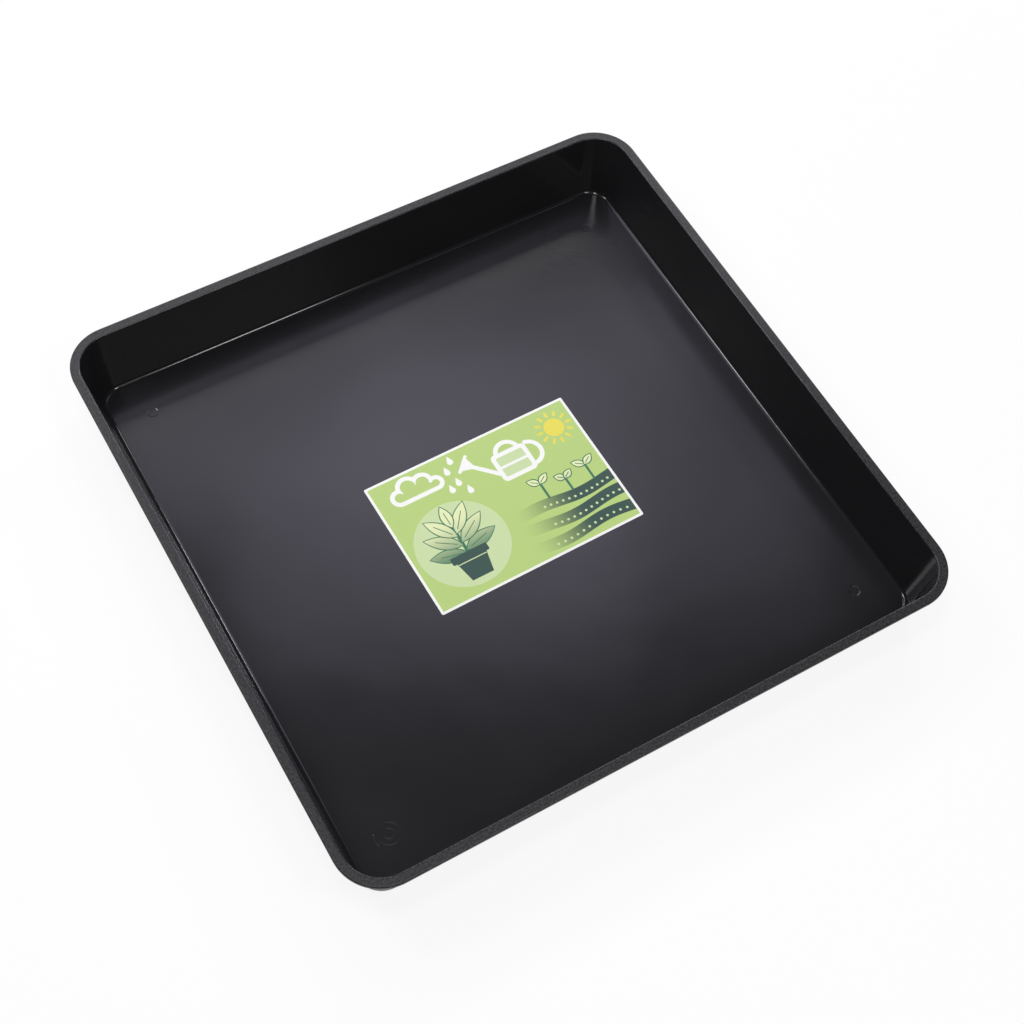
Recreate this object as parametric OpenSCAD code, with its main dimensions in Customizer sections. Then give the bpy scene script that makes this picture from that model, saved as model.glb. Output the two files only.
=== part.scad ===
// Square garden tray: one moulded shell with an out-turned rim, and a label stuck to its floor.
// Origin: centre of the underside, on the surface that the tray stands on. +Z is up.

/* [Tray] */
// Length over the rim, along X
tray_l = 600; // [400:5:900]
// Width over the rim, along Y
tray_w = 600; // [400:5:900]
// Height from the surface it stands on to the top of the rim
tray_h = 70; // [40:1:100]
// Radius of the rim's outer corners, seen from above
corner_r = 43; // [34:1:90]

/* [Walls and floor] */
// Thickness of the side walls
wall_t = 2.5; // [1.5:0.1:4]
// Thickness of the floor
floor_t = 2.8; // [1.5:0.1:4]
// Lean of the walls from upright, in degrees, so that the tray leaves its mould and nests
wall_draft = 10.6; // [3:0.1:13]
// Radius of the bend between floor and wall, on the inside
floor_fillet = 4; // [1:0.5:6]

/* [Rim] */
// Width of the rim's top, from the outer edge to the inner wall
rim_w = 9; // [7:0.5:13]
// Thickness of the rim's flat top
rim_t = 2.4; // [1.6:0.1:3.5]
// How far the lip hangs below the rim's flat top
lip_drop = 1.3; // [0.8:0.1:6]
// Thickness of the lip
lip_t = 2.2; // [1.5:0.1:3]
// Rounding of the lip's outer top edge
rim_edge_r = 1.2; // [0.3:0.1:1.4]
// Rounding of the rim's inner edge
rim_inner_r = 1.5; // [0.3:0.1:2]
// Rounding of the lip's two lower edges
lip_edge_r = 0.5; // [0.2:0.1:0.7]
// Radius between the rim's underside and the outer wall
root_r = 1.5; // [0.5:0.1:2]

/* [Ejector marks] */
// Distance of the marks in the floor's corners from the rim's outer edge, along X
mark_inset_x = 60; // [55:1:120]
// Distance of the marks in the floor's corners from the rim's outer edge, along Y
mark_inset_y = 63; // [55:1:120]
// Diameter of the mark that an ejector pin leaves
pin_d = 10; // [4:0.5:14]
// Depth of the mark that an ejector pin leaves
pin_sink = 0.3; // [0.1:0.05:0.6]
// Diameter of the round mould insert's mark in the fourth corner
insert_d = 20; // [14:0.5:24]
// Depth of the mould insert's mark
insert_sink = 0.1; // [0.1:0.05:0.4]
// Diameter of the sunk middle of the mould insert's mark
insert_core_d = 9; // [4:0.5:12]
// Further depth of that sunk middle
insert_core_sink = 0.1; // [0.1:0.05:0.4]
// Length of the bar mark beside the mould insert
bar_l = 10; // [4:0.5:16]
// Width of the bar mark
bar_w = 1; // [0.5:0.1:2]
// Gap between the bar mark and the mould insert's mark
bar_gap = 2; // [1:0.1:4]

/* [Gate mark on the underside] */
// Diameter of the round recess that keeps the gate's stub off the ground
gate_recess_d = 16; // [10:0.5:24]
// Depth of that recess
gate_recess_sink = 0.8; // [0.7:0.05:1.2]
// Diameter of the stub where the plastic entered the mould
gate_stub_d = 3.5; // [2:0.1:6]
// Height of that stub
gate_stub_h = 0.5; // [0.1:0.05:0.6]

/* [Label] */
// Length of the label
label_l = 215; // [80:1:300]
// Width of the label
label_w = 148; // [50:1:220]
// Thickness of the label
label_t = 0.2; // [0.1:0.05:0.5]
// Radius of the label's corners
label_corner_r = 1.5; // [0.5:0.1:8]
// Place of the label's centre along X
label_x = 3.7; // [-30:0.1:30]
// Place of the label's centre along Y
label_y = -4.9; // [-30:0.1:30]
// Turn of the label on the floor, in degrees
label_turn = 0.9; // [-10:0.1:10]

/* [Hidden] */
$fn = 96;

// Straight pieces that a rounded edge of the section is drawn with
arc_steps = 6;
// How far a cut runs past the face it starts from
overrun = 1;

// Centres of the four corner arcs
corner_x = tray_l / 2 - corner_r;
corner_y = tray_w / 2 - corner_r;

// The bend under the floor keeps the wall even all the way round
base_edge_r = floor_fillet + wall_t;
// The wall's thickness along a level line
wall_level_t = wall_t / cos(wall_draft);

mark_x = tray_l / 2 - mark_inset_x;
mark_y = tray_w / 2 - mark_inset_y;

function arc(centre, r, from, to) =
    [for (i = [0:arc_steps])
        let (a = from + (to - from) * i / arc_steps)
        centre + r * [cos(a), sin(a)]];

// Distances outward from a corner's centre, at height z
function inner_wall(z) = corner_r - rim_w - (tray_h - z) * tan(wall_draft);
function outer_wall(z) = inner_wall(z) + wall_level_t;

// A bend's centre stands this far from the leaning wall, along a level line
function beside_wall(r) = r / cos(wall_draft);

// Section through the wall: outward distance across, height up
section = concat(
    [[0, 0]],
    let (z = base_edge_r)
        arc([outer_wall(z) - beside_wall(z), z], base_edge_r, -90, -wall_draft),
    let (z = tray_h - rim_t - root_r)
        arc([outer_wall(z) + beside_wall(root_r), z], root_r, 180 - wall_draft, 90),
    [[corner_r - lip_t, tray_h - rim_t]],
    let (z = tray_h - rim_t - lip_drop + lip_edge_r)
        concat(
            arc([corner_r - lip_t + lip_edge_r, z], lip_edge_r, 180, 270),
            arc([corner_r - lip_edge_r, z], lip_edge_r, -90, 0)
        ),
    arc([corner_r - rim_edge_r, tray_h - rim_edge_r], rim_edge_r, 0, 90),
    let (z = tray_h - rim_inner_r)
        arc([inner_wall(z) + beside_wall(rim_inner_r), z], rim_inner_r, 90, 180 - wall_draft),
    let (z = floor_t + floor_fillet)
        arc([inner_wall(z) - beside_wall(floor_fillet), z], floor_fillet, -wall_draft, -90),
    [[0, floor_t]]
);

// One straight side, whose section starts a distance out from the middle
module side(reach, span) {
    translate([reach, span / 2, 0])
        rotate([90, 0, 0])
            linear_extrude(span) polygon(section);
}

module corner(x, y) {
    translate([x, y, 0]) rotate_extrude(angle = 90) polygon(section);
}

module shell() {
    for (quarter = [0:3]) {
        turned = quarter % 2 == 1;
        x = turned ? corner_y : corner_x;
        y = turned ? corner_x : corner_y;
        rotate(90 * quarter) {
            side(x, 2 * y);
            corner(x, y);
        }
    }
    translate([-corner_x, -corner_y, 0]) cube([2 * corner_x, 2 * corner_y, floor_t]);
}

// Shallow round cut into the floor from above
module floor_dimple(d, sink) {
    translate([0, 0, floor_t - sink]) cylinder(d = d, h = sink + overrun);
}

module floor_marks() {
    for (x = [-mark_x, mark_x], y = [-mark_y, mark_y])
        if (x > 0 || y > 0) translate([x, y, 0]) floor_dimple(pin_d, pin_sink);
    translate([-mark_x, -mark_y, 0]) {
        floor_dimple(insert_d, insert_sink);
        floor_dimple(insert_core_d, insert_sink + insert_core_sink);
        translate([-insert_d / 2 - bar_gap - bar_w, -bar_l / 2, floor_t - insert_sink])
            cube([bar_w, bar_l, insert_sink + overrun]);
    }
}

// Ring-shaped cut that leaves the gate's stub standing in its recess
module gate_mark() {
    difference() {
        translate([0, 0, -overrun]) cylinder(d = gate_recess_d, h = gate_recess_sink + overrun);
        translate([0, 0, gate_recess_sink - gate_stub_h])
            cylinder(d = gate_stub_d, h = gate_stub_h + overrun);
    }
}

module tray() {
    color("#2a2a2d")
        difference() {
            shell();
            floor_marks();
            gate_mark();
        }
}

module label() {
    x = label_l / 2 - label_corner_r;
    y = label_w / 2 - label_corner_r;
    color("#a9ce6c")
        translate([label_x, label_y, floor_t])
            rotate(label_turn)
                linear_extrude(label_t)
                    polygon(concat(
                        arc([x, y], label_corner_r, 0, 90),
                        arc([-x, y], label_corner_r, 90, 180),
                        arc([-x, -y], label_corner_r, 180, 270),
                        arc([x, -y], label_corner_r, 270, 360)
                    ));
}

tray();
label();
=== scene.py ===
"""Garden tray: its moulded shell, the printed label on its floor, and the studio around them."""

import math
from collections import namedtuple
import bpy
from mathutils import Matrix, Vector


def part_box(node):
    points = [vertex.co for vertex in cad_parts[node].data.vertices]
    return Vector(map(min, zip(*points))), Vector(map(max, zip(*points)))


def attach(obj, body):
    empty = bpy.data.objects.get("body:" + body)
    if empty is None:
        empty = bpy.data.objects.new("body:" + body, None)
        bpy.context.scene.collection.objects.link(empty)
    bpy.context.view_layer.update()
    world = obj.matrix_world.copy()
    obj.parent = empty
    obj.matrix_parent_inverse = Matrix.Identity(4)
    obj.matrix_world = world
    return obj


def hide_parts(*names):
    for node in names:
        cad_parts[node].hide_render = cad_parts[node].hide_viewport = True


bl_info = {
    "name": "Garden tray",
    "version": (1, 0, 0),
    "blender": (4, 5, 0),
    "location": "3D View > Sidebar > Garden tray",
    "description": "A square moulded garden tray with a printed label, in a pale studio",
    "category": "Add Mesh",
}

import bmesh
import bpy
from mathutils import Matrix, Vector
from mathutils.geometry import delaunay_2d_cdt

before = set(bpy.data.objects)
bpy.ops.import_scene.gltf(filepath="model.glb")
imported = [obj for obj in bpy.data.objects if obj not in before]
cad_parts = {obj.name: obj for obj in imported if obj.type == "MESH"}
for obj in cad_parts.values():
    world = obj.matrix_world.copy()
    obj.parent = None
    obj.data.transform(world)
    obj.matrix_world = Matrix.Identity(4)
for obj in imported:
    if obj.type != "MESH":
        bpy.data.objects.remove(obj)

MM = 0.001
TRAY_LOW, TRAY_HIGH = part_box("tray")
LABEL_LOW, LABEL_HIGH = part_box("label")
# The label lies face to face on the inside floor
FLOOR_TOP = LABEL_LOW.z

# Signs of x and y in the four quarters, anticlockwise
QUARTERS = ((1, 1), (-1, 1), (-1, -1), (1, -1))
# Output type of delaunay_2d_cdt that makes faces only inside the outlines
INSIDE_ONLY = 1
# Points closer than this are one point to delaunay_2d_cdt
WELD = 1e-4 * MM


def length(name, description, millimetres):
    """A size that a user can change."""
    return bpy.props.FloatProperty(
        name=name, description=description, default=millimetres * MM, unit="LENGTH", precision=5
    )


def angle(name, description, degrees):
    """An angle that a user can change."""
    return bpy.props.FloatProperty(
        name=name, description=description, default=math.radians(degrees), subtype="ANGLE"
    )


def linear(hex_colour):
    """Turns an sRGB hex colour into the linear colour that shaders take."""
    parts = [int(hex_colour[i : i + 2], 16) / 255 for i in (1, 3, 5)]
    return (*[c / 12.92 if c <= 0.04045 else ((c + 0.055) / 1.055) ** 2.4 for c in parts], 1.0)


def colour(name, description, hex_colour):
    """A colour that a user can change."""
    return bpy.props.FloatVectorProperty(
        name=name, description=description, default=linear(hex_colour), size=4, min=0, max=1,
        subtype="COLOR",
    )


class ShellSettings(bpy.types.PropertyGroup):
    """Sizes and colours of the moulded shell."""

    corner_radius: length("Corner radius", "Radius of the rim's outer corners, from above", 43)
    wall_thickness: length("Wall", "Thickness of the side walls", 2.5)
    wall_draft: angle("Draft", "Lean of the walls from upright", 10.6)
    floor_fillet: length("Floor fillet", "Radius between floor and wall, on the inside", 4)
    rim_width: length("Rim width", "From the rim's outer edge to the inner wall", 9)
    rim_thickness: length("Rim thickness", "Thickness of the rim's flat top", 2.4)
    lip_drop: length("Lip drop", "How far the lip hangs below the rim's flat top", 1.3)
    lip_thickness: length("Lip thickness", "Thickness of the lip", 2.2)
    rim_edge: length("Rim edge", "Rounding of the lip's outer top edge", 1.2)
    rim_inner_edge: length("Rim inner edge", "Rounding of the rim's inner edge", 1.5)
    lip_edge: length("Lip edge", "Rounding of the lip's lower edges", 0.5)
    root_radius: length("Root", "Radius between the rim's underside and the wall", 1.5)
    mark_inset_x: length("Mark inset X", "From the rim's outer edge to the marks, along X", 60)
    mark_inset_y: length("Mark inset Y", "From the rim's outer edge to the marks, along Y", 63)
    pin_diameter: length("Pin mark", "Diameter of the mark that an ejector pin leaves", 10)
    pin_sink: length("Pin mark depth", "Depth of the mark that an ejector pin leaves", 0.3)
    insert_diameter: length("Insert mark", "Diameter of the mould insert's mark", 20)
    insert_core: length("Insert core", "Diameter of the sunk middle of that mark", 9)
    insert_sink: length("Insert depth", "Depth of each of that mark's two steps", 0.1)
    bar_length: length("Bar length", "Length of the bar mark beside the mould insert", 10)
    bar_width: length("Bar width", "Width of the bar mark", 1)
    bar_gap: length("Bar gap", "Gap between the bar mark and the mould insert's mark", 2)
    gate_diameter: length("Gate recess", "Diameter of the recess under the tray", 16)
    gate_sink: length("Gate depth", "Depth of that recess", 0.8)
    stub_diameter: length("Gate stub", "Diameter of the stub where the plastic came in", 3.5)
    stub_height: length("Stub height", "Height of that stub", 0.5)
    plastic: colour("Plastic", "Carbon black in polypropylene, as moulded", "#1E1E20")
    plastic_light: colour("Lighter plastic", "The same, a little lighter in clouds", "#232325")
    grain: colour("Grain", "The hollows of the grain", "#1E1E20")
    # Painted highlight: the grain's tips are drawn lighter, standing in for the light they catch
    grain_tip_highlight: colour("Grain tip highlight", "The tips of the grain, painted lighter where they catch the light", "#39393B")
    dust: colour("Dust", "Fine dust and rubbed places", "#6A6A6E")


class LabelSettings(bpy.types.PropertyGroup):
    """Sizes and inks of the label."""

    label_length: length("Length", "Length of the label", 215)
    label_width: length("Width", "Width of the label", 148)
    corner_radius: length("Corner radius", "Radius of the label's corners", 1.5)
    turn: angle("Turn", "Turn of the label on the floor", 0.9)
    border: length("Border", "Width of the bare paper round the print", 2.5)
    stroke: length("Stroke", "Width of the bold white lines", 4.4)
    disc_radius: length("Disc radius", "Radius of the pale disc", 45)
    sun_radius: length("Sun radius", "Radius of the sun", 10)
    paper: colour("Paper", "Bare coated paper", "#F3F4F0")
    lime: colour("Lime", "The ground of the print", "#B4CE77")
    pale: colour("Pale green", "The disc, the seed and the can's inside", "#C8DAA4")
    teal: colour("Teal", "Furrows and pot", "#27493F")
    leaf: colour("Leaf green", "Stems, outlines and the roots of the leaves", "#2F7350")
    cream: colour("Cream", "Tips of the leaves", "#E3EAB4")
    yellow: colour("Yellow", "The sun", "#E6D94C")


Softbox = namedtuple("Softbox", "name azimuth elevation width height watts tint")
# Azimuth turns from +X towards +Y, in degrees, and elevation is above the horizon.
# Sizes are in metres, and each softbox stands SOFTBOX_DISTANCE from the tray.
# The three upper ones at the back overlap, so that their light fades out upwards.
# The plastic reflects them as the light band on its floor, the bright lines along its bends,
# the light part of the left wall and the streak in the far corner.
SOFTBOX_DISTANCE = 2.0
SOFTBOXES = (
    Softbox("softbox_back_wide", 81, 55, 2.5, 0.24, 2.75, "#EAE7FF"),
    Softbox("softbox_back_right", 47, 57, 1.02, 0.39, 1.3, "#EAE7FF"),
    Softbox("softbox_back_high", 63, 63, 0.81, 0.42, 1.65, "#EAE7FF"),
    Softbox("softbox_low_right", 37, 34, 0.39, 0.21, 6, "#FFFFFF"),
    Softbox("softbox_low_back", 89, 43, 2.32, 0.27, 12.6, "#FFFFFF"),
    Softbox("softbox_left", 132, 52, 0.4, 0.59, 10.5, "#FFFFFF"),
    Softbox("softbox_right", 287, 58, 0.34, 0.6, 9, "#FFFFFF"),
    Softbox("softbox_low_front", 272, 40, 1.0, 0.4, 2.4, "#FFFFFF"),
    Softbox("softbox_front_high", 215, 77, 0.36, 0.36, 9.5, "#FFFFFF"),
)


class StageSettings(bpy.types.PropertyGroup):
    """Camera, room and floor."""

    camera_place: bpy.props.FloatVectorProperty(
        name="Camera", description="Where the camera stands", default=(-0.4698, -0.6883, 1.4211),
        subtype="XYZ", unit="LENGTH", precision=4,
    )
    camera_aim: bpy.props.FloatVectorProperty(
        name="Aim", description="The point in the middle of the picture",
        default=(0.0053, -0.0174, 0.0028), subtype="XYZ", unit="LENGTH", precision=4,
    )
    camera_roll: angle("Roll", "Turn of the camera about its line of sight", 6.2)
    lens: bpy.props.FloatProperty(
        name="Lens", description="Focal length on a 36 mm wide sensor", default=62.3, unit="CAMERA"
    )
    floor_size: length("Floor", "Side of the square studio floor", 12000)
    floor_colour: colour("Floor colour", "Pale matt floor", "#FAFAFA")
    ambient: bpy.props.FloatProperty(
        name="Ambient", description="Brightness of the room round the lamps", default=0.01, min=0
    )


def add_node(tree, kind, sockets=(), **settings):
    """Adds a shader node with its settings, and fills or links its sockets.

    Sockets go by name, or by number where a node has several of one name.
    """
    node = tree.nodes.new(kind)
    for name, value in settings.items():
        setattr(node, name, value)
    for name, value in dict(sockets).items():
        if isinstance(value, bpy.types.NodeSocket):
            tree.links.new(value, node.inputs[name])
        else:
            node.inputs[name].default_value = value
    return node


# Numbers of a mix node's sockets for colours: the share, the two inputs and the output
MIX_SHARE = 0
MIX_FIRST = 6
MIX_SECOND = 7
MIXED = 2


def new_material(name):
    """An empty material, its node tree and the coordinates of the piece, in metres."""
    material = bpy.data.materials.new(name)
    material.use_nodes = True
    tree = material.node_tree
    tree.nodes.clear()
    return material, tree, add_node(tree, "ShaderNodeTexCoord").outputs["Object"]


def across(millimetres):
    """Scale of a pattern that repeats about once in so many millimetres."""
    return 1 / (millimetres * MM)


def moulded_polypropylene(name, shell, roughness):
    """Polypropylene with carbon black, moulded against a polished steel core.

    It gives the eye a satin black with a blurred reflection, a slow waviness and faint rubs.
    """
    material, tree, place = new_material(name)
    clouds = add_node(
        tree, "ShaderNodeTexNoise", {"Vector": place, "Scale": across(90), "Detail": 3.0}
    ).outputs["Fac"]
    tone = add_node(
        tree, "ShaderNodeMix",
        {MIX_SHARE: clouds, MIX_FIRST: shell.plastic, MIX_SECOND: shell.plastic_light},
        data_type="RGBA",
    ).outputs[MIXED]
    # Rubs are fine lines, about 3 mm apart, that run at a slant and show in a few patches
    turned = add_node(
        tree, "ShaderNodeMapping", {"Vector": place, "Rotation": (0, 0, math.radians(38))}
    )
    drawn_out = add_node(
        tree, "ShaderNodeVectorMath",
        {0: turned.outputs["Vector"], 1: (across(160), across(3), across(40))},
        operation="MULTIPLY",
    ).outputs["Vector"]
    lines = add_node(
        tree, "ShaderNodeTexNoise", {"Vector": drawn_out, "Scale": 1.0, "Detail": 2.0}
    ).outputs["Fac"]
    # W picks another pattern than that of the clouds
    patches = add_node(
        tree, "ShaderNodeTexNoise",
        {"Vector": place, "W": 5.0, "Scale": across(130), "Detail": 1.0}, noise_dimensions="4D",
    ).outputs["Fac"]
    few_lines = add_node(
        tree, "ShaderNodeMapRange", {"Value": lines, "From Min": 0.6, "From Max": 0.85}
    ).outputs["Result"]
    few_patches = add_node(
        tree, "ShaderNodeMapRange", {"Value": patches, "From Min": 0.5, "From Max": 0.7}
    ).outputs["Result"]
    rubs = add_node(
        tree, "ShaderNodeMath", {0: few_lines, 1: few_patches}, operation="MULTIPLY"
    ).outputs["Value"]
    # Specks of dust are about a millimetre across and 22 mm apart
    specks = add_node(tree, "ShaderNodeTexVoronoi", {"Vector": place, "Scale": across(22)})
    near_speck = add_node(
        tree, "ShaderNodeMapRange",
        {"Value": specks.outputs["Distance"], "From Min": 0.03, "From Max": 0.015},
    ).outputs["Result"]
    # A speck holds the most dust and a rub less, and the plastic shows through both
    dusty = add_node(
        tree, "ShaderNodeMath", {0: rubs, 1: 0.3, 2: near_speck}, operation="MULTIPLY_ADD"
    ).outputs["Value"]
    dust_share = add_node(
        tree, "ShaderNodeMath", {0: dusty, 1: 0.12}, operation="MULTIPLY"
    ).outputs["Value"]
    base = add_node(
        tree, "ShaderNodeMix",
        {MIX_SHARE: dust_share, MIX_FIRST: tone, MIX_SECOND: shell.dust}, data_type="RGBA",
    ).outputs[MIXED]
    # The roughness varies by a tenth with the clouds, and rubbed places are rougher
    cloudy = add_node(
        tree, "ShaderNodeMapRange",
        {"Value": clouds, "To Min": roughness * 0.9, "To Max": roughness * 1.1},
    ).outputs["Result"]
    rubbed = add_node(
        tree, "ShaderNodeMath", {0: rubs, 1: roughness * 0.3, 2: cloudy}, operation="MULTIPLY_ADD"
    ).outputs["Value"]
    # The polished steel leaves an orange peel 0.02 mm deep, and shrinkage a slow waviness
    peel = add_node(
        tree, "ShaderNodeTexNoise", {"Vector": place, "Scale": across(2.2), "Detail": 2.0}
    ).outputs["Fac"]
    fine = add_node(
        tree, "ShaderNodeBump", {"Height": peel, "Strength": 0.5, "Distance": 0.02 * MM}
    ).outputs["Normal"]
    waves = add_node(
        tree, "ShaderNodeTexNoise", {"Vector": place, "Scale": across(70), "Detail": 1.0}
    ).outputs["Fac"]
    normal = add_node(
        tree, "ShaderNodeBump",
        {"Height": waves, "Strength": 1.0, "Distance": 0.3 * MM, "Normal": fine},
    ).outputs["Normal"]
    shader = add_node(
        tree, "ShaderNodeBsdfPrincipled",
        {"Base Color": base, "Roughness": rubbed, "IOR": 1.49, "Normal": normal},
    )
    add_node(tree, "ShaderNodeOutputMaterial", {"Surface": shader.outputs["BSDF"]})
    return material


# Spark erosion leaves grain of about 0.2 mm. It is drawn ten times as coarse, so that it shows.
GRAIN = 10 * 0.2


def spark_eroded_polypropylene(name, shell, wear):
    """The same polypropylene, moulded against a spark-eroded cavity.

    It gives the eye a matt, finely pitted dark grey, with a painted highlight on the grain's tips.
    Wear takes roughness off it and adds shine.
    """
    material, tree, place = new_material(name)
    grain = add_node(
        tree, "ShaderNodeTexNoise",
        {"Vector": place, "Scale": across(GRAIN), "Detail": 2.0, "Roughness": 0.6},
    ).outputs["Fac"]
    # Painted highlight: the tips of the grain are drawn lighter, as the light they catch
    tips = add_node(
        tree, "ShaderNodeMapRange", {"Value": grain, "From Min": 0.38, "From Max": 0.62}
    ).outputs["Result"]
    base = add_node(
        tree, "ShaderNodeMix",
        {MIX_SHARE: tips, MIX_FIRST: shell.grain, MIX_SECOND: shell.grain_tip_highlight},
        data_type="RGBA",
    ).outputs[MIXED]
    clouds = add_node(
        tree, "ShaderNodeTexNoise", {"Vector": place, "Scale": across(60), "Detail": 2.0}
    ).outputs["Fac"]
    roughness = add_node(
        tree, "ShaderNodeMapRange",
        {"Value": clouds, "To Min": 0.36 - wear, "To Max": 0.42 - wear},
    ).outputs["Result"]
    normal = add_node(
        tree, "ShaderNodeBump", {"Height": grain, "Strength": 0.5, "Distance": 0.2 * MM}
    ).outputs["Normal"]
    shader = add_node(
        tree, "ShaderNodeBsdfPrincipled",
        {
            "Base Color": base, "Roughness": roughness, "IOR": 1.49,
            "Specular IOR Level": 0.295 + wear, "Normal": normal,
        },
    )
    add_node(tree, "ShaderNodeOutputMaterial", {"Surface": shader.outputs["BSDF"]})
    return material


def printed_paper(name, ink, fades_to=None, start=None, end=None):
    """Coated paper with offset ink.

    It gives the eye a flat, slightly mottled colour with a low gloss. An ink may fade into
    another one from start to end, two points in the piece's coordinates.
    """
    material, tree, place = new_material(name)
    tone = ink
    if fades_to is not None:
        way = end - start
        per_metre = way / way.length_squared
        along = add_node(
            tree, "ShaderNodeVectorMath", {0: place, 1: per_metre}, operation="DOT_PRODUCT"
        ).outputs["Value"]
        share = add_node(
            tree, "ShaderNodeMapRange",
            {"Value": along, "From Min": start.dot(per_metre), "From Max": end.dot(per_metre)},
            interpolation_type="SMOOTHSTEP",
        ).outputs["Result"]
        tone = add_node(
            tree, "ShaderNodeMix", {MIX_SHARE: share, MIX_FIRST: ink, MIX_SECOND: fades_to},
            data_type="RGBA",
        ).outputs[MIXED]
    # Fibres and screen dots are finer than a pixel, so they are drawn 0.8 mm across
    fibres = add_node(
        tree, "ShaderNodeTexNoise", {"Vector": place, "Scale": across(0.8), "Detail": 2.0}
    ).outputs["Fac"]
    value = add_node(
        tree, "ShaderNodeMapRange", {"Value": fibres, "To Min": 0.96, "To Max": 1.04}
    ).outputs["Result"]
    mottled = add_node(
        tree, "ShaderNodeHueSaturation", {"Value": value, "Color": tone}
    ).outputs["Color"]
    roughness = add_node(
        tree, "ShaderNodeMapRange", {"Value": fibres, "To Min": 0.36, "To Max": 0.46}
    ).outputs["Result"]
    normal = add_node(
        tree, "ShaderNodeBump", {"Height": fibres, "Strength": 0.4, "Distance": 0.01 * MM}
    ).outputs["Normal"]
    shader = add_node(
        tree, "ShaderNodeBsdfPrincipled",
        {"Base Color": mottled, "Roughness": roughness, "IOR": 1.5, "Normal": normal},
    )
    add_node(tree, "ShaderNodeOutputMaterial", {"Surface": shader.outputs["BSDF"]})
    return material


# Longest straight piece of a rounded edge in the wall's section, and the fewest in one edge
CHORD = 0.45 * MM
FEWEST_CHORDS = 4
# Flat strip beside a rounded edge, which keeps the shading of the flat face even
STRIP = 0.5 * MM


def rounded(start, corners, end):
    """Points of the rounded corners of a line from start to end.

    Each corner is (outward, up, radius). Start and end only give the line its directions.
    """
    path = [Vector(start), *[Vector((x, z)) for x, z, _ in corners], Vector(end)]
    points = []
    for before, corner, after, (_, _, radius) in zip(path, path[1:], path[2:], corners):
        back = (before - corner).normalized()
        on = (after - corner).normalized()
        half = back.angle(on) / 2
        tangent = radius / math.tan(half)
        centre = corner + (back + on).normalized() * radius / math.sin(half)
        first = corner + back * tangent
        last = corner + on * tangent
        steps = max(FEWEST_CHORDS, math.ceil((math.pi - 2 * half) * radius / CHORD))
        points.append(first + back * STRIP)
        for step in range(steps + 1):
            spoke = (first - centre).slerp(last - centre, step / steps).normalized()
            points.append(centre + spoke * radius)
        points.append(last + on * STRIP)
    return points


def wall_section(shell):
    """The wall's section from the underside over the rim to the inside floor.

    Points are (outward from the corner's centre, up). Returns them, and the numbers of the
    first ones on the rim's rounded inner edge and on the inside.
    """
    height = TRAY_HIGH.z
    under_rim = height - shell.rim_thickness
    lip_foot = under_rim - shell.lip_drop
    lip_back = shell.corner_radius - shell.lip_thickness
    level_wall = shell.wall_thickness / math.cos(shell.wall_draft)

    def inner_wall(z):
        """How far the leaning inner wall stands out at height z."""
        return shell.corner_radius - shell.rim_width - (height - z) * math.tan(shell.wall_draft)

    outside = [
        (inner_wall(0) + level_wall, 0, shell.floor_fillet + shell.wall_thickness),
        (inner_wall(under_rim) + level_wall, under_rim, shell.root_radius),
        # Inside the lip the mould leaves only a slight rounding
        (lip_back, under_rim, shell.lip_edge / 2),
        (lip_back, lip_foot, shell.lip_edge),
        (shell.corner_radius, lip_foot, shell.lip_edge),
        (shell.corner_radius, height, shell.rim_edge),
    ]
    rim_corner = (inner_wall(height), height, shell.rim_inner_edge)
    floor_corner = (inner_wall(FLOOR_TOP), FLOOR_TOP, shell.floor_fillet)
    rim_middle = (shell.corner_radius - shell.rim_width / 2, height)
    wall_middle = (Vector(rim_corner[:2]) + Vector(floor_corner[:2])) / 2
    outer_line = rounded((0, 0), outside, rim_middle)
    edge_line = rounded(rim_middle, [rim_corner], wall_middle)
    inner_line = rounded(wall_middle, [floor_corner], (0, FLOOR_TOP))
    first_edge = len(outer_line)
    # The inside starts where the edge's rounding ends, before its flat strip
    first_inside = first_edge + len(edge_line) - 2
    return outer_line + edge_line + inner_line, first_edge, first_inside


# Straight pieces round each corner of the tray, and along each side
CORNER_STEPS = 24
SIDE_STEPS = 10
# Short piece at both ends of a side, which keeps the long side's shading even
SIDE_END = 2 * MM


def stations(shell):
    """Where the section stands round the tray: pairs of its centre and the angle it faces."""
    size = (TRAY_HIGH - TRAY_LOW).xy
    x, y = size / 2 - Vector((shell.corner_radius, shell.corner_radius))
    centres = [Vector((sign_x * x, sign_y * y)) for sign_x, sign_y in QUARTERS]
    places = []
    for quarter, centre in enumerate(centres):
        after = centres[(quarter + 1) % len(centres)]
        start = quarter * math.pi / 2
        for step in range(CORNER_STEPS + 1):
            places.append((centre, start + step / CORNER_STEPS * math.pi / 2))
        end = SIDE_END / (after - centre).length
        shares = [end, *[step / SIDE_STEPS for step in range(1, SIDE_STEPS)], 1 - end]
        for share in shares:
            places.append((centre.lerp(after, share), start + math.pi / 2))
    return places


def bridge(bm, ring, other, material):
    """A band of faces between two closed rings of as many points."""
    for i in range(len(ring)):
        corners = (ring[i - 1], ring[i], other[i], other[i - 1])
        bm.faces.new(corners).material_index = material


# Sinks are pairs of inset and height above the mark's level, the first at no inset.
# Edge is half the width of the soft edge at each of them.
Mark = namedtuple("Mark", "place half_x half_y radius edge sinks")
PIN_EDGE = 0.6 * MM
INSERT_EDGE = 0.8 * MM
BAR_EDGE = 0.3 * MM
GATE_EDGE = 0.12 * MM
# Reach of the flat strip beside a soft edge, and of the mark's outline, in edges
STRIP_REACH = 1.5
OUTLINE_REACH = 2
# Straight pieces in a quarter of a mark's outline, and across a soft edge
MARK_STEPS = 12
EDGE_STEPS = 6


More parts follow.
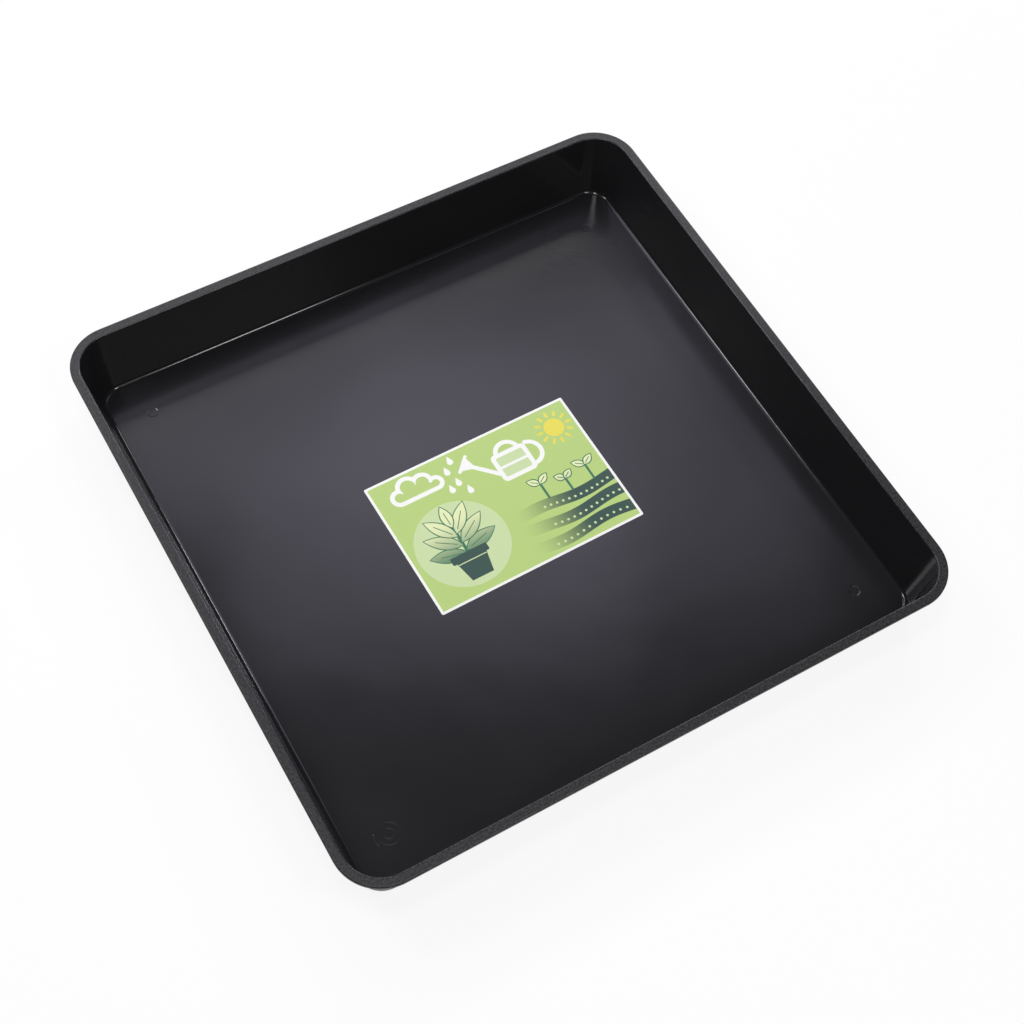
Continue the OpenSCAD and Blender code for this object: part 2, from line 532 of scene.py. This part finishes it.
def mark_ring(mark, inset):
    """Outline of a mark, drawn in by inset: a circle, or a bar with rounded corners."""
    x = mark.half_x - mark.radius
    y = mark.half_y - mark.radius
    radius = mark.radius - inset
    # In a circle, each quarter ends on the point that the next one starts from
    steps = MARK_STEPS if x == y == 0 else MARK_STEPS + 1
    points = []
    for quarter, (sign_x, sign_y) in enumerate(QUARTERS):
        centre = mark.place + Vector((sign_x * x, sign_y * y))
        for step in range(steps):
            turn = (quarter + step / MARK_STEPS) * math.pi / 2
            points.append(centre + radius * Vector((math.cos(turn), math.sin(turn))))
    return points


def sink_mark(bm, mark, ring, level, material):
    """Steps a mark down from its ring, over soft edges."""
    height = 0
    for inset, sink in mark.sinks:
        # A narrow flat strip on both sides keeps the shading of the flat faces even
        stages = [(inset - mark.edge * STRIP_REACH, height)]
        for step in range(EDGE_STEPS + 1):
            share = (1 - math.cos(step / EDGE_STEPS * math.pi)) / 2
            along = inset + mark.edge * (2 * step / EDGE_STEPS - 1)
            stages.append((along, height + (sink - height) * share))
        stages.append((inset + mark.edge * STRIP_REACH, sink))
        for step_in, up in stages:
            below = [
                bm.verts.new((p.x, p.y, level + up)) for p in mark_ring(mark, step_in)
            ]
            bridge(bm, ring, below, material)
            ring = below
        height = sink
    bm.faces.new(ring).material_index = material


# Size of the faces that fill a level part, and how far their corners keep off its outline
FILL_SIZE = 26 * MM
FILL_CLEAR = 3 * MM


def fill_level(bm, outline, marks, level, material):
    """Fills a level outline with faces about FILL_SIZE across, and sinks the marks into it."""
    rings = [
        [bm.verts.new((p.x, p.y, level)) for p in mark_ring(m, -m.edge * OUTLINE_REACH)]
        for m in marks
    ]
    corners = [v for ring in (outline, *rings) for v in ring]
    points = [v.co.xy for v in corners]
    loops = []
    first = 0
    for ring in (outline, *rings):
        loops.append(list(range(first, first + len(ring))))
        first += len(ring)
    reach = max(p.x for p in points)
    steps = int(reach / FILL_SIZE)
    for i in range(-steps, steps + 1):
        for j in range(-steps, steps + 1):
            point = Vector((i, j)) * FILL_SIZE
            near_mark = any((point - m.place).length < m.half_x + m.half_y for m in marks)
            if not near_mark and max(abs(point.x), abs(point.y)) < reach - FILL_CLEAR:
                points.append(point)
    made, _, faces, origins, _, inside = delaunay_2d_cdt(points, [], loops, INSIDE_ONLY, WELD)
    verts = []
    for p, origin in zip(made, origins):
        known = [i for i in origin if i < len(corners)]
        verts.append(corners[known[0]] if known else bm.verts.new((p.x, p.y, level)))
    for face, loops_round in zip(faces, inside):
        # The outline is loop 0, and a face inside any other loop belongs to a mark
        if max(loops_round) == 0:
            bm.faces.new([verts[i] for i in face]).material_index = material
    for mark, ring in zip(marks, rings):
        sink_mark(bm, mark, ring, level, material)


def floor_marks(shell):
    """The ejector pins' and the mould insert's marks in the inside floor."""
    x = TRAY_HIGH.x - shell.mark_inset_x
    y = TRAY_HIGH.y - shell.mark_inset_y
    pin = shell.pin_diameter / 2
    marks = [
        Mark(Vector(place), pin, pin, pin, PIN_EDGE, ((0, -shell.pin_sink),))
        for place in ((x, y), (-x, y), (x, -y))
    ]
    insert = shell.insert_diameter / 2
    plain_sink = (0, -shell.insert_sink)
    core_sink = (insert - shell.insert_core / 2, -2 * shell.insert_sink)
    place = Vector((-x, -y))
    marks.append(Mark(place, insert, insert, insert, INSERT_EDGE, (plain_sink, core_sink)))
    bar_end = shell.bar_width / 2
    place = Vector((-x - insert - shell.bar_gap - bar_end, -y))
    marks.append(Mark(place, bar_end, shell.bar_length / 2, bar_end, BAR_EDGE, (plain_sink,)))
    return marks


def gate_mark(shell):
    """The gate's recess under the tray, with its stub."""
    radius = shell.gate_diameter / 2
    stub_inset = radius - shell.stub_diameter / 2
    sinks = ((0, shell.gate_sink), (stub_inset, shell.gate_sink - shell.stub_height))
    return Mark(Vector((0, 0)), radius, radius, radius, GATE_EDGE, sinks)


def new_piece(name, bm, materials):
    """Makes an object of a finished mesh, smooth and facing outwards."""
    bmesh.ops.recalc_face_normals(bm, faces=bm.faces)
    for face in bm.faces:
        face.smooth = True
    mesh = bpy.data.meshes.new(name)
    bm.to_mesh(mesh)
    bm.free()
    for material in materials:
        mesh.materials.append(material)
    piece = bpy.data.objects.new(name, mesh)
    bpy.context.scene.collection.objects.link(piece)
    return piece


class TRAY_OT_shell(bpy.types.Operator):
    """Makes the moulded shell"""

    bl_idname = "tray.shell"
    bl_label = "Make the shell"

    def execute(self, context):
        shell = context.scene.tray_shell_settings
        # Places of the four finishes in the list of materials below
        grained, worn, polished, satin = range(4)
        section, first_edge, first_inside = wall_section(shell)
        bm = bmesh.new()
        rings = [[] for _ in section]
        for centre, turn in stations(shell):
            for ring, (out, up) in zip(rings, section):
                x = centre.x + out * math.cos(turn)
                y = centre.y + out * math.sin(turn)
                ring.append(bm.verts.new((x, y, up)))
        for i, (ring, other) in enumerate(zip(rings, rings[1:])):
            if i < first_edge:
                finish = grained
            elif i < first_inside:
                finish = worn
            else:
                finish = polished
            bridge(bm, ring, other, finish)
        fill_level(bm, rings[0], [gate_mark(shell)], 0, grained)
        fill_level(bm, rings[-1], floor_marks(shell), FLOOR_TOP, satin)
        materials = [
            spark_eroded_polypropylene("spark_eroded_polypropylene", shell, wear=0),
            spark_eroded_polypropylene("worn_spark_eroded_polypropylene", shell, wear=0.15),
            moulded_polypropylene("polished_moulded_polypropylene", shell, roughness=0.12),
            moulded_polypropylene("satin_moulded_polypropylene", shell, roughness=0.19),
        ]
        piece = new_piece("tray_shell", bm, materials)
        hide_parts("tray")
        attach(piece, "root")
        return {"FINISHED"}


# Longest straight piece of a printed curve in millimetres, and the fewest in one curve
PRINT_CHORD = 0.8
FEWEST_PRINT_CHORDS = 8


def circle(centre, radius, start=0.0, sweep=2 * math.pi):
    """Points round a circle, or along a part of it, in millimetres."""
    steps = max(FEWEST_PRINT_CHORDS, math.ceil(sweep * radius / PRINT_CHORD))
    closed = math.isclose(sweep, 2 * math.pi)
    angles = [start + sweep * i / steps for i in range(steps if closed else steps + 1)]
    return [centre + radius * Vector((math.cos(a), math.sin(a))) for a in angles]


def bar(centre, size, radius):
    """A rectangle with rounded corners."""
    inner = size / 2 - Vector((radius, radius))
    points = []
    for quarter, (sign_x, sign_y) in enumerate(QUARTERS):
        middle = centre + Vector((sign_x * inner.x, sign_y * inner.y))
        points += circle(middle, radius, quarter * math.pi / 2, math.pi / 2)
    return points


def left_of(way):
    """A direction square to another one, on its left."""
    return Vector((-way.y, way.x)).normalized()


def stroke(line, width):
    """A line drawn with a round pen."""
    right = []
    left = []
    for i, point in enumerate(line):
        way = line[min(i + 1, len(line) - 1)] - line[max(i - 1, 0)]
        aside = left_of(way) * width / 2
        right.append(point - aside)
        left.append(point + aside)
    end_turn = math.atan2(*(right[-1] - line[-1]).yx)
    start_turn = math.atan2(*(left[0] - line[0]).yx)
    end_cap = circle(line[-1], width / 2, end_turn, math.pi)[1:-1]
    start_cap = circle(line[0], width / 2, start_turn, math.pi)[1:-1]
    return right + end_cap + left[::-1] + start_cap


def curve(start, pull, end, steps=16):
    """A curve from start to end that leans towards pull."""
    shares = [i / steps for i in range(steps + 1)]
    return [start.lerp(pull, t).lerp(pull.lerp(end, t), t) for t in shares]


def leaf(root, tip, width):
    """A pointed leaf, widest a little nearer to its root."""
    way = tip - root
    widest = root + way * 0.42
    aside = left_of(way) * width
    return curve(root, widest - aside, tip) + curve(tip, widest + aside, root)[1:-1]


def drop(tip, height):
    """A falling drop, its tip up."""
    radius = height * 0.3
    centre = tip - Vector((0, height - radius))
    lean = math.acos(radius / (height - radius))
    return [tip, *circle(centre, radius, math.pi / 2 + lean, 2 * (math.pi - lean))]


def lined_leaf(root, tip, width, fill):
    """A leaf with a dark outline and a vein."""
    outline = 1.1
    vein_width = 0.8
    past_end = (tip - root).normalized() * 1.3
    vein = [root.lerp(tip, share) for share in (0.15, 0.4, 0.7)]
    return [
        ("leaf", leaf(root - past_end, tip + past_end, width + 2 * outline)),
        (fill, leaf(root, tip, width)),
        ("leaf", stroke(vein, vein_width)),
    ]


def furrows(edge):
    """Ploughed furrows that fade in from the left and run out to the right edge, with seed."""
    depth = 12.5
    swell = 2.2
    seed_radius = 1.3
    steps = 36
    # Steps from the left end over which a furrow opens to its full depth, and holds no seed
    opening_steps = 7
    seedless_steps = 11
    motifs = []
    for row, (left, top) in enumerate(((-6, -17), (-12, -35), (-20, -53))):
        crest = []
        foot = []
        seed = []
        for i in range(steps + 1):
            x = left + (edge - left) * i / steps
            # The rows rise and fall a little out of step with each other
            y = top + swell * math.sin(x / 15 + row * 1.3)
            crest.append(Vector((x, y)))
            foot.append(Vector((x, y - depth * min(1, (i + 1) / opening_steps) ** 0.5)))
            if seedless_steps < i < steps and i % 2 == row % 2:
                seed.append(Vector((x, y - depth * 0.62)))
        motifs.append(("furrow", foot + crest[::-1]))
        motifs += [("pale", circle(point, seed_radius)) for point in seed]
    return motifs


def seedling(foot, height):
    """A shoot with its first two leaves."""
    stem_width = 2.4
    leaf_width = 6.5
    top = foot + Vector((0, height))
    motifs = [("leaf", stroke([foot, foot.lerp(top, 0.5), top], stem_width))]
    for side in (-1, 1):
        tip = top + Vector((side * height * 0.62, height * 0.42))
        motifs += lined_leaf(top, tip, leaf_width, "seedling")
    return motifs


def pot_plant(foot):
    """A young plant in a pot. Its foot is the middle of the pot's rim."""
    stem_width = 3.2
    stem = [foot + Vector((0, y)) for y in (-1, 14, 33)]
    motifs = [("leaf", stroke(stem, stem_width))]
    # Each pair's height on the stem, and the reach, lift and width of its leaves
    pairs = ((4, 34, 9, 13), (13, 30, 20, 12.5), (23, 21, 27, 12))
    for rise, reach, lift, width in pairs:
        for side in (-1, 1):
            # The right leaf of a pair starts a little higher than the left one
            root = foot + Vector((side * 0.5, rise + side * 1.5))
            tip = root + Vector((side * reach, lift))
            motifs += lined_leaf(root, tip, width, "pot_plant")
    motifs += lined_leaf(foot + Vector((0, 32)), foot + Vector((0, 56)), 10, "pot_plant")
    body = ((-15.5, -3), (-11, -25), (11, -25), (15.5, -3))
    rim = bar(foot, Vector((38, 8)), 1.6)
    line_below_rim = bar(foot - Vector((0, 5.5)), Vector((29, 1)), 0.4)
    motifs.append(("teal", [foot + Vector(p) for p in body]))
    motifs.append(("teal", rim))
    motifs.append(("pale", line_below_rim))
    return motifs


def watering_can(middle, pen):
    """A watering can in bold white lines, with its drops. Its middle is that of the body."""
    size = Vector((37, 31))
    inner = size - Vector((pen, pen)) * 2
    back_handle = circle(middle + Vector((size.x / 2 - 1, 2)), 12.5, -1.4, 2.8)
    top_handle = circle(middle + Vector((0, size.y / 2 - 3)), 11.5, 0.3, math.pi - 0.6)
    spout_foot = middle + Vector((-15, -8))
    neck = middle + Vector((-37, 14))
    way = (neck - spout_foot).normalized()
    aside = left_of(way)
    face = neck + way * 10
    rose = [neck - aside * 2.2, face - aside * 8, face + aside * 8, neck + aside * 2.2]
    rose_plate = [face - aside * 9, face, face + aside * 9]
    motifs = [
        ("paper", stroke(back_handle, pen)),
        ("paper", stroke(top_handle, pen)),
        ("paper", stroke([spout_foot, spout_foot.lerp(neck, 0.5), neck], pen)),
        ("paper", rose),
        ("paper", stroke(rose_plate, 3.2)),
        ("paper", bar(middle, size, 5)),
        ("pale", bar(middle, inner, 2)),
        ("paper", bar(middle, Vector((inner.x, pen * 0.6)), 0.5)),
    ]
    # Place of each drop's tip, and its height
    drops = ((-53, 36, 10), (-61, 27, 10), (-57, 12, 10), (-66, 8, 10), (-51, 0, 10))
    motifs += [("paper", drop(middle + Vector((x, y)), high)) for x, y, high in drops]
    return motifs


def cloud(middle, scale, pen):
    """A cloud in bold white lines."""
    # Place and radius of each puff
    puffs = ((-21, -2, 11), (-7, 6, 14), (10, 4, 12.5), (23, -3.5, 9.5))
    centres = [middle + Vector((x, y)) * scale for x, y, _ in puffs]
    motifs = []
    for ink, shrink in (("paper", 0), ("lime", pen)):
        for centre, (_, _, radius) in zip(centres, puffs):
            motifs.append((ink, circle(centre, radius * scale - shrink)))
        base = centres[0].y - puffs[0][2] * scale + shrink
        feet = [Vector((centres[0].x, base)), Vector((centres[-1].x, base))]
        motifs.append((ink, feet + centres[::-1]))
    return motifs


def sun(middle, radius):
    """A sun with short rays."""
    rays = 12
    ray_width = 2.6
    motifs = [("yellow", circle(middle, radius))]
    for ray in range(rays):
        turn = ray * 2 * math.pi / rays
        way = Vector((math.cos(turn), math.sin(turn))) * radius
        line = [middle + way * share for share in (1.35, 1.55, 1.75)]
        motifs.append(("yellow", stroke(line, ray_width)))
    return motifs


def label_motifs(label):
    """What is printed on the label, from the lowest layer to the top: pairs of ink and outline.

    Places and outlines are in millimetres from the label's middle.
    """
    size = Vector((label.label_length, label.label_width)) / MM
    pen = label.stroke / MM
    print_size = size - 2 * Vector((label.border, label.border)) / MM
    middle = Vector((0, 0))
    disc = Vector((-55, -19))
    return [
        ("paper", bar(middle, size, label.corner_radius / MM)),
        ("lime", bar(middle, print_size, 0.4)),
        *furrows(print_size.x / 2),
        ("pale", circle(disc, label.disc_radius / MM)),
        *pot_plant(disc + Vector((0, -13))),
        *watering_can(Vector((31, 33)), pen),
        *cloud(Vector((-64, 52)), 0.85, pen),
        *sun(Vector((84, 48)), label.sun_radius / MM),
        *seedling(Vector((40, -16)), 17),
        *seedling(Vector((64, -19)), 14),
        *seedling(Vector((88, -18)), 17),
    ]


def anticlockwise(points):
    """The same outline, in the order that a face seen from above has."""
    area = sum(a.cross(b) for a, b in zip(points, points[1:] + points[:1]))
    return points if area > 0 else points[::-1]


def label_inks(label, place):
    """The label's finishes, by name of ink. Place is the matrix that lays the label down."""

    def point(x, y):
        """A point of the label, in shares of its half length and half width from the middle."""
        return place @ Vector((x * label.label_length / 2, y * label.label_width / 2, 0))

    return {
        "paper": printed_paper("coated_paper_bare", label.paper),
        "lime": printed_paper("coated_paper_lime_ink", label.lime),
        "pale": printed_paper("coated_paper_pale_ink", label.pale),
        "teal": printed_paper("coated_paper_teal_ink", label.teal),
        "leaf": printed_paper("coated_paper_leaf_ink", label.leaf),
        "yellow": printed_paper("coated_paper_yellow_ink", label.yellow),
        "furrow": printed_paper(
            "coated_paper_furrow_ink", label.lime, label.teal, point(-0.02, 0), point(0.62, 0)
        ),
        "pot_plant": printed_paper(
            "coated_paper_pot_plant_ink", label.leaf, label.cream, point(0, -0.55), point(0, 0.15)
        ),
        "seedling": printed_paper(
            "coated_paper_seedling_ink", label.leaf, label.cream, point(0, -0.35), point(0, 0.05)
        ),
    }


# Edges of the label that turn more than this are drawn sharp
SHARP_TURN = math.radians(40)


class TRAY_OT_label(bpy.types.Operator):
    """Makes the printed label"""

    bl_idname = "tray.label"
    bl_label = "Make the label"

    def execute(self, context):
        label = context.scene.tray_label_settings
        middle = (LABEL_LOW + LABEL_HIGH) / 2
        place = Matrix.Translation(middle.xy.to_3d()) @ Matrix.Rotation(label.turn, 4, "Z")
        inks = label_inks(label, place)
        numbers = {ink: number for number, ink in enumerate(inks)}
        motifs = [(ink, anticlockwise(outline)) for ink, outline in label_motifs(label)]
        points = []
        loops = []
        for _, outline in motifs:
            loops.append(list(range(len(points), len(points) + len(outline))))
            points += outline
        made, _, faces, origins, _, inside = delaunay_2d_cdt(
            points, [], loops, INSIDE_ONLY, WELD / MM
        )
        bm = bmesh.new()
        top = [
            bm.verts.new(place @ Vector((p.x * MM, p.y * MM, LABEL_HIGH.z))) for p in made
        ]
        for face, layers in zip(faces, inside):
            # The highest layer of print is the one that shows
            ink = motifs[max(layers)][0]
            bm.faces.new([top[i] for i in face]).material_index = numbers[ink]
        # The first outline is the sheet's own, and the sheet's edge goes down from it
        edge = {i: top[n] for n, origin in enumerate(origins) for i in origin if i in loops[0]}
        upper = [edge[i] for i in loops[0]]
        lower = [bm.verts.new((v.co.x, v.co.y, LABEL_LOW.z)) for v in upper]
        bridge(bm, upper, lower, numbers["paper"])
        bm.faces.new(lower[::-1]).material_index = numbers["paper"]
        piece = new_piece("label_sheet", bm, inks.values())
        piece.data.set_sharp_from_angle(angle=SHARP_TURN)
        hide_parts("label")
        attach(piece, "root")
        return {"FINISHED"}


def matt_floor(tint):
    """A plain matt studio floor.

    It gives the eye a white ground on which only the tray's soft shadow shows.
    """
    material, tree, place = new_material("matt_studio_floor")
    rays = add_node(tree, "ShaderNodeLightPath")
    seen = add_node(
        tree, "ShaderNodeMath",
        {0: rays.outputs["Is Camera Ray"], 1: rays.outputs["Is Glossy Ray"]},
        operation="ADD",
    ).outputs["Value"]
    seen_or_through = add_node(
        tree, "ShaderNodeMath", {0: seen, 1: rays.outputs["Is Transmission Ray"]},
        operation="ADD", use_clamp=True,
    ).outputs["Value"]
    distance = add_node(
        tree, "ShaderNodeVectorMath", {0: place}, operation="LENGTH"
    ).outputs["Value"]
    # The tray's shadow shows on the ground near it, and from 1.2 m on the ground is plain white
    whiteness = add_node(
        tree, "ShaderNodeMapRange",
        {"Value": distance, "From Min": 0.4, "From Max": 1.2, "To Min": 0.88, "To Max": 1.0},
    ).outputs["Result"]
    white_share = add_node(
        tree, "ShaderNodeMath", {0: seen_or_through, 1: whiteness}, operation="MULTIPLY"
    ).outputs["Value"]
    white = add_node(tree, "ShaderNodeEmission", {"Strength": 1.0}).outputs["Emission"]
    matt = add_node(tree, "ShaderNodeBsdfDiffuse", {"Color": tint}).outputs["BSDF"]
    lit = add_node(
        tree, "ShaderNodeMixShader", {0: white_share, 1: matt, 2: white}
    ).outputs["Shader"]
    # From below the floor lets the eye through to the tray's underside
    clear = add_node(tree, "ShaderNodeBsdfTransparent").outputs["BSDF"]
    side = add_node(tree, "ShaderNodeNewGeometry").outputs["Backfacing"]
    both = add_node(tree, "ShaderNodeMixShader", {0: side, 1: lit, 2: clear})
    add_node(tree, "ShaderNodeOutputMaterial", {"Surface": both.outputs["Shader"]})
    return material


class TRAY_OT_stage(bpy.types.Operator):
    """Makes the camera, the lamps, the room and the floor"""

    bl_idname = "tray.stage"
    bl_label = "Make the stage"

    def execute(self, context):
        stage = context.scene.tray_stage_settings
        self.add_camera(stage)
        for box in SOFTBOXES:
            self.add_softbox(box)
        self.add_floor(stage)
        self.set_room(stage)
        context.scene.view_settings.view_transform = "Standard"
        return {"FINISHED"}

    def add_camera(self, stage):
        """The camera, aimed at the tray and turned about its line of sight."""
        lens = bpy.data.cameras.new("camera")
        lens.lens = stage.lens
        lens.sensor_width = 36
        camera = bpy.data.objects.new("camera", lens)
        bpy.context.scene.collection.objects.link(camera)
        sight = Vector(stage.camera_aim) - Vector(stage.camera_place)
        level = sight.to_track_quat("-Z", "Y").to_matrix().to_4x4()
        roll = Matrix.Rotation(stage.camera_roll, 4, "Z")
        camera.matrix_world = Matrix.Translation(stage.camera_place) @ level @ roll
        bpy.context.scene.camera = camera

    def add_softbox(self, box):
        """A softbox that faces the tray."""
        lamp = bpy.data.lights.new(box.name, "AREA")
        lamp.shape = "RECTANGLE"
        lamp.size = box.width
        lamp.size_y = box.height
        lamp.energy = box.watts
        lamp.color = linear(box.tint)[:3]
        turn = math.radians(box.azimuth)
        rise = math.radians(box.elevation)
        level = Vector((math.cos(turn), math.sin(turn), 0)) * math.cos(rise)
        way = level + Vector((0, 0, math.sin(rise)))
        softbox = bpy.data.objects.new(box.name, lamp)
        softbox.visible_camera = False
        softbox.location = way * SOFTBOX_DISTANCE
        softbox.rotation_euler = (-way).to_track_quat("-Z", "Y").to_euler()
        bpy.context.scene.collection.objects.link(softbox)

    def add_floor(self, stage):
        """The ground under the tray."""
        bm = bmesh.new()
        bmesh.ops.create_grid(bm, x_segments=1, y_segments=1, size=stage.floor_size / 2)
        mesh = bpy.data.meshes.new("studio_floor")
        bm.to_mesh(mesh)
        bm.free()
        mesh.materials.append(matt_floor(stage.floor_colour))
        floor = bpy.data.objects.new("studio_floor", mesh)
        # Just under the tray, so that the two faces don't lie in one plane
        floor.location.z = -0.1 * MM
        bpy.context.scene.collection.objects.link(floor)

    def set_room(self, stage):
        """The room round the lamps: white to the camera, and nearly dark in reflections."""
        world = bpy.data.worlds.new("studio_room")
        world.use_nodes = True
        tree = world.node_tree
        tree.nodes.clear()
        room = add_node(
            tree, "ShaderNodeBackground", {"Color": (1, 1, 1, 1), "Strength": stage.ambient}
        ).outputs["Background"]
        white = add_node(
            tree, "ShaderNodeBackground", {"Color": (1, 1, 1, 1), "Strength": 1.0}
        ).outputs["Background"]
        rays = add_node(tree, "ShaderNodeLightPath").outputs["Is Camera Ray"]
        both = add_node(tree, "ShaderNodeMixShader", {0: rays, 1: room, 2: white})
        add_node(tree, "ShaderNodeOutputWorld", {"Surface": both.outputs["Shader"]})
        bpy.context.scene.world = world


class TRAY_PT_parts(bpy.types.Panel):
    """Lists what can be made"""

    bl_label = "Garden tray"
    bl_space_type = "VIEW_3D"
    bl_region_type = "UI"
    bl_category = "Garden tray"

    def draw(self, context):
        parts = (
            (TRAY_OT_shell, context.scene.tray_shell_settings),
            (TRAY_OT_label, context.scene.tray_label_settings),
            (TRAY_OT_stage, context.scene.tray_stage_settings),
        )
        for operator, settings in parts:
            box = self.layout.box()
            box.operator(operator.bl_idname)
            for name in settings.__annotations__:
                box.prop(settings, name)


CLASSES = (
    ShellSettings, LabelSettings, StageSettings,
    TRAY_OT_shell, TRAY_OT_label, TRAY_OT_stage, TRAY_PT_parts,
)


def register():
    for cls in CLASSES:
        bpy.utils.register_class(cls)
    bpy.types.Scene.tray_shell_settings = bpy.props.PointerProperty(type=ShellSettings)
    bpy.types.Scene.tray_label_settings = bpy.props.PointerProperty(type=LabelSettings)
    bpy.types.Scene.tray_stage_settings = bpy.props.PointerProperty(type=StageSettings)


def unregister():
    del bpy.types.Scene.tray_stage_settings
    del bpy.types.Scene.tray_label_settings
    del bpy.types.Scene.tray_shell_settings
    for cls in reversed(CLASSES):
        bpy.utils.unregister_class(cls)


def main():
    """Makes every piece and the stage."""
    register()
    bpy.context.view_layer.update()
    bpy.ops.tray.stage()
    bpy.ops.tray.shell()
    bpy.ops.tray.label()


if __name__ == "__main__":
    main()
